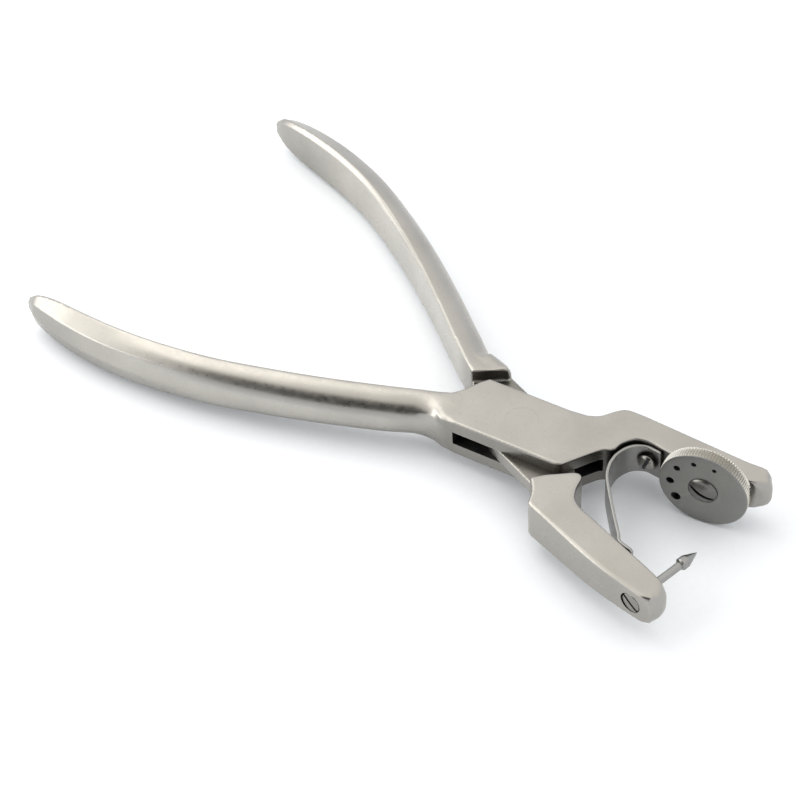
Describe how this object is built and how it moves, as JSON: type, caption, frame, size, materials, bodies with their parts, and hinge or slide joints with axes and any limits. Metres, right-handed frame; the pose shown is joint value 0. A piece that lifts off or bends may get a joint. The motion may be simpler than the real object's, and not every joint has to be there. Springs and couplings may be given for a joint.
{
  "type": "rotary hole punch",
  "caption": "Plier-type steel rotary punch with a knurled die wheel on one jaw, a pointed punch pin on the other, a leaf spring and long bowed handles.",
  "frame": {"origin": "where the pivot axis meets the flat underside of the box joint", "axes": "+X towards the jaws, +Y towards the die-wheel jaw, +Z along the pivot axis, out of the upper flat side"},
  "size_m": [0.1664, 0.088, 0.0202],
  "materials": {
    "forged_steel": "satin, bead blasted",
    "wheel_steel": "satin",
    "screw_steel": "fine turned",
    "spring_steel": "fine brushed",
    "pin_steel": "bright turned"
  },
  "bodies": {
    "box": {"box_half": "forged_steel", "pivot_pin": "forged_steel", "wheel_screw": "screw_steel", "detent_ball": "screw_steel", "detent_spring": "spring_steel", "spring_tab": "spring_steel", "spring_screw": "screw_steel"},
    "punch": {"punch_half": "forged_steel", "punch_pin": "pin_steel", "punch_set_screw": "screw_steel"},
    "wheel": {"die_wheel": "wheel_steel"},
    "spring": {"spring_arm": "spring_steel"}
  },
  "joints": [
    {"name": "jaws", "type": "hinge", "parent": "box", "child": "punch", "pos_m": [0, 0, 0.005], "axis": [0, 0, 1], "range_deg": [-4, 19]},
    {"name": "wheel_turn", "type": "hinge", "parent": "box", "child": "wheel", "pos_m": [0.0395, 0.0129, 0.005], "axis": [0.284, -0.9588, 0], "continuous": true},
    {"name": "spring_flex", "type": "hinge", "parent": "box", "child": "spring", "pos_m": [0.0212, 0.006, 0.005], "axis": [0, 0, 1], "range_deg": [-9, 39]}
  ],
  "couplings": [
    {"joint": "spring_flex", "follows": "jaws", "ratio": 2}
  ]
}
